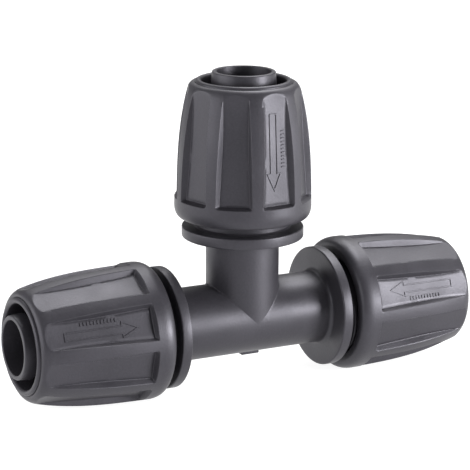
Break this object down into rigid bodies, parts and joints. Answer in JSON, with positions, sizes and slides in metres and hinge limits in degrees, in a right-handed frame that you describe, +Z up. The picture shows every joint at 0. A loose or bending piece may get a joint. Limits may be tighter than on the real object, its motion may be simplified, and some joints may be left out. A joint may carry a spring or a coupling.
{
  "type": "tee hose fitting",
  "caption": "Equal tee for flexible irrigation hose, with three barbed spigots, each gripped by a ribbed screw lock nut over a split clamp ring.",
  "frame": {"origin": "under the middle of the run, at the height of the lowest point of the nuts", "axes": "+X along the run, from the left arm to the right arm; +Z up along the branch; one finger panel of each run nut faces mostly -Y"},
  "size_m": [0.0988, 0.0272, 0.0636],
  "materials": {
    "body_plastic": "charcoal, satin, fine moulded grain",
    "nut_plastic": "charcoal, satin, fine moulded grain",
    "ring_plastic": "near black, matt"
  },
  "bodies": {
    "tee_body": {"tee_body": "body_plastic"},
    "left_ring": {"left_clamp_ring": "ring_plastic"},
    "left_nut": {"left_nut": "nut_plastic"},
    "right_ring": {"right_clamp_ring": "ring_plastic"},
    "right_nut": {"right_nut": "nut_plastic"},
    "branch_ring": {"branch_clamp_ring": "ring_plastic"},
    "branch_nut": {"branch_nut": "nut_plastic"}
  },
  "joints": [
    {"name": "left_nut_advance", "type": "slide", "parent": "tee_body", "child": "left_ring", "axis": [-1, 0, 0], "range_m": [-0.0014, 0.0084]},
    {"name": "left_nut_turn", "type": "hinge", "parent": "left_ring", "child": "left_nut", "pos_m": [-0.034, 0, 0.01365], "axis": [-1, 0, 0], "range_deg": [-200, 1200]},
    {"name": "right_nut_advance", "type": "slide", "parent": "tee_body", "child": "right_ring", "axis": [1, 0, 0], "range_m": [-0.0014, 0.0084]},
    {"name": "right_nut_turn", "type": "hinge", "parent": "right_ring", "child": "right_nut", "pos_m": [0.034, 0, 0.01365], "axis": [1, 0, 0], "range_deg": [-200, 1200]},
    {"name": "branch_nut_advance", "type": "slide", "parent": "tee_body", "child": "branch_ring", "axis": [0, 0, 1], "range_m": [-0.0014, 0.0084]},
    {"name": "branch_nut_turn", "type": "hinge", "parent": "branch_ring", "child": "branch_nut", "pos_m": [0, 0, 0.04765], "axis": [0, 0, 1], "range_deg": [-200, 1200]}
  ],
  "couplings": [
    {"joint": "left_nut_advance", "follows": "left_nut_turn", "m_per_rad": 0.00039789},
    {"joint": "right_nut_advance", "follows": "right_nut_turn", "m_per_rad": 0.00039789},
    {"joint": "branch_nut_advance", "follows": "branch_nut_turn", "m_per_rad": 0.00039789}
  ]
}
